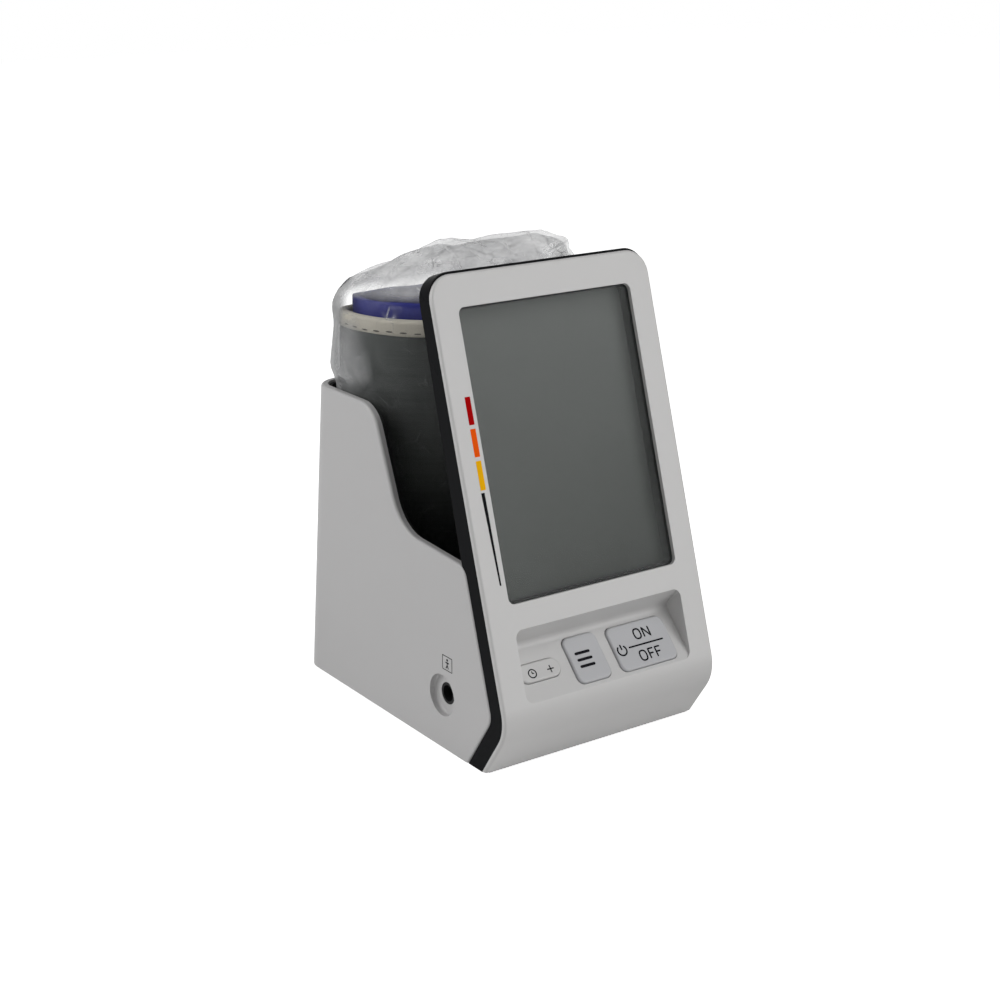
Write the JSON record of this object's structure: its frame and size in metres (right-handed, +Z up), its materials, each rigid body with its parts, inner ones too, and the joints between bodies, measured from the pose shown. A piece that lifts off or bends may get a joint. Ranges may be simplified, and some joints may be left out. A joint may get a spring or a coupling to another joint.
{
  "type": "digital blood pressure monitor",
  "caption": "Upright desk blood pressure monitor: leaning display with keys in a sloped recess, air jack in the side, and a rear pocket with the rolled arm cuff in a film bag.",
  "frame": {"origin": "middle of the box on the plane of the feet", "axes": "+Z up, the display faces -Y, +X to the viewer's right"},
  "size_m": [0.104, 0.1544, 0.1899],
  "materials": {
    "shell_silver": "fine satin",
    "shell_grey": "fine satin",
    "band_black": "semi-gloss",
    "liner_black": "matte",
    "lens_clear": "polished",
    "lcd_glass": "anti-glare",
    "silicone": "matte",
    "circuit_board": "solder mask",
    "chip_black": "moulded",
    "brass": "plain",
    "key_grey": "satin",
    "steel": "plated",
    "rubber_black": "matte",
    "can_metal": "sleeved",
    "ribbon_film": "film",
    "cell_jacket": "gloss jacket",
    "cloth_grey": "woven",
    "binding_beige": "stitched tape",
    "lining_blue": "smooth nylon",
    "hook_tape": "hook tape",
    "film_clear": "clear film"
  },
  "bodies": {
    "base": {"front_bezel": "shell_silver", "mid_frame": "band_black", "rear_housing": "shell_grey", "pocket_liner": "liner_black", "display_back": "band_black", "display_lens": "lens_clear", "lcd_frame": "band_black", "lcd_panel": "lcd_glass", "lcd_connector": "silicone", "main_board": "circuit_board", "board_chips": "chip_black", "buzzer": "brass", "keypad_membrane": "silicone", "key_domes": "steel", "key_board": "circuit_board", "key_board_screws": "steel", "display_screws": "steel", "air_jack": "liner_black", "jack_seal": "rubber_black", "air_manifold": "liner_black", "pump_head": "chip_black", "pump_motor": "steel", "pump_cradle": "rubber_black", "release_valve": "steel", "power_board": "circuit_board", "power_board_screws": "steel", "pressure_sensor": "chip_black", "capacitors": "can_metal", "air_tubes": "silicone", "ribbon_cable": "ribbon_film", "base_plate": "shell_grey", "battery_cells": "cell_jacket", "battery_contacts": "steel", "rubber_feet": "rubber_black", "base_screws": "steel"},
    "start_key": {"start_button": "key_grey"},
    "memory_key": {"memory_button": "key_grey"},
    "set_key": {"set_rocker": "key_grey"},
    "door": {"battery_door": "shell_grey"},
    "cuff": {"cuff_sleeve": "cloth_grey", "cuff_binding": "binding_beige", "cuff_bladder": "rubber_black", "cuff_lining": "lining_blue", "cuff_inner_wrap": "cloth_grey", "cuff_hook_strip": "hook_tape", "cuff_bag": "film_clear"}
  },
  "joints": [
    {"name": "start_press", "type": "slide", "parent": "base", "child": "start_key", "axis": [0, 0.7169, -0.6972], "range_m": [0, 0.0008], "stiffness_N_per_m": 1500, "springref_m": -0.0002},
    {"name": "memory_press", "type": "slide", "parent": "base", "child": "memory_key", "axis": [0, 0.7169, -0.6972], "range_m": [0, 0.0008], "stiffness_N_per_m": 1500, "springref_m": -0.0002},
    {"name": "set_rock", "type": "hinge", "parent": "base", "child": "set_key", "pos_m": [-0.02955, -0.0662, 0.03789], "axis": [0, 0.6972, 0.7169], "range_deg": [-3, 3], "stiffness_Nm_per_rad": 0.05},
    {"name": "door_slide", "type": "slide", "parent": "base", "child": "door", "axis": [0, 1, 0], "range_m": [0, 0.06]},
    {"name": "cuff_lift", "type": "slide", "parent": "base", "child": "cuff", "axis": [0, 0, 1], "range_m": [0, 0.15]}
  ]
}
